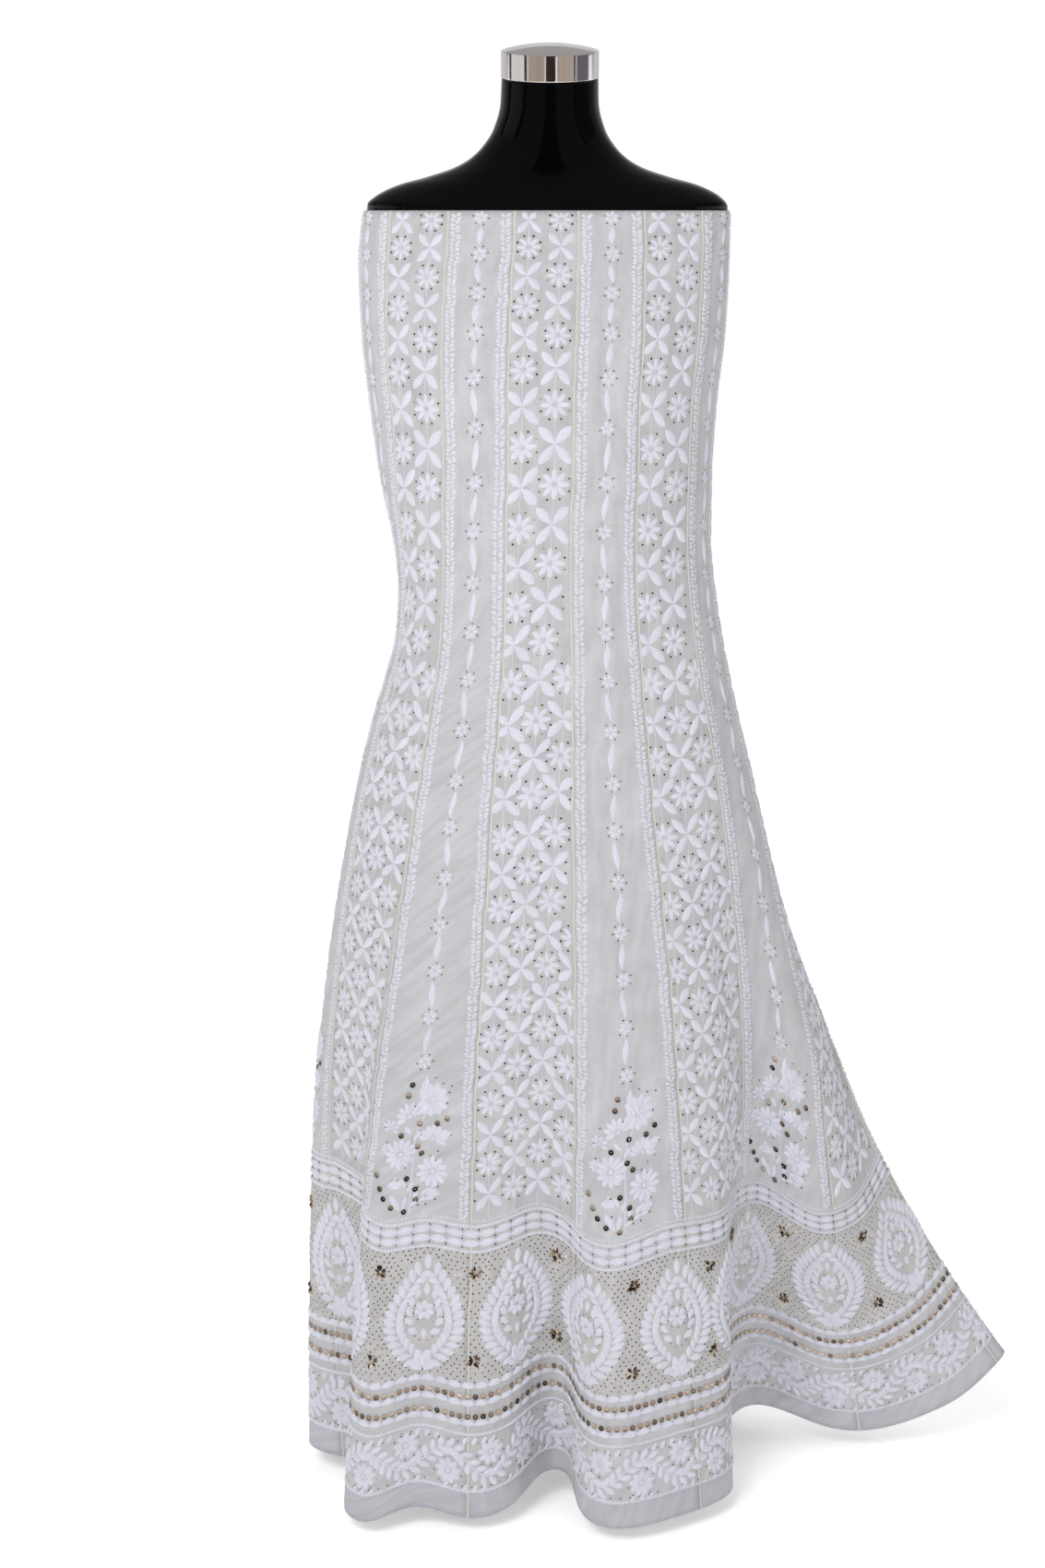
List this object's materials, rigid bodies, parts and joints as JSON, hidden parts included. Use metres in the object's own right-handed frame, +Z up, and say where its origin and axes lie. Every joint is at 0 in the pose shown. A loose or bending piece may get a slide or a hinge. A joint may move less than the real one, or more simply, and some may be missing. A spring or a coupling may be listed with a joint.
{
  "type": "anarkali gown on dress form",
  "caption": "Straight-topped panelled gown with a full folded hem and one side drawn out, worn by a limbless dress form on a pole and round base.",
  "frame": {"origin": "on the floor, on the underside of the stand's base plate, below the form's vertical axis at the front part of the plate", "axes": "+Z up along the form, -Y towards the viewer in front, +X towards the side on which the skirt is drawn out"},
  "size_m": [0.791, 0.4568, 1.5581],
  "materials": {
    "jaal_cloth": "fine white weave with raised white thread flowers in a trellis",
    "plain_cloth": "fine white weave with a vine of small raised flowers",
    "form_black": "deep gloss black",
    "cap_chrome": "polished",
    "stand_steel": "brushed"
  },
  "bodies": {
    "root": {"jaal_kali_01": "jaal_cloth", "plain_kali_02": "plain_cloth", "jaal_kali_03": "jaal_cloth", "plain_kali_04": "plain_cloth", "jaal_kali_05": "jaal_cloth", "plain_kali_06": "plain_cloth", "jaal_kali_07": "jaal_cloth", "plain_kali_08": "plain_cloth", "jaal_kali_09": "jaal_cloth", "plain_kali_10": "plain_cloth", "jaal_kali_11": "jaal_cloth", "plain_kali_12": "plain_cloth", "jaal_kali_13": "jaal_cloth", "plain_kali_14": "plain_cloth", "form_torso": "form_black", "form_neck_cap": "cap_chrome", "stand_pole": "stand_steel", "stand_base": "stand_steel"}
  },
  "joints": []
}
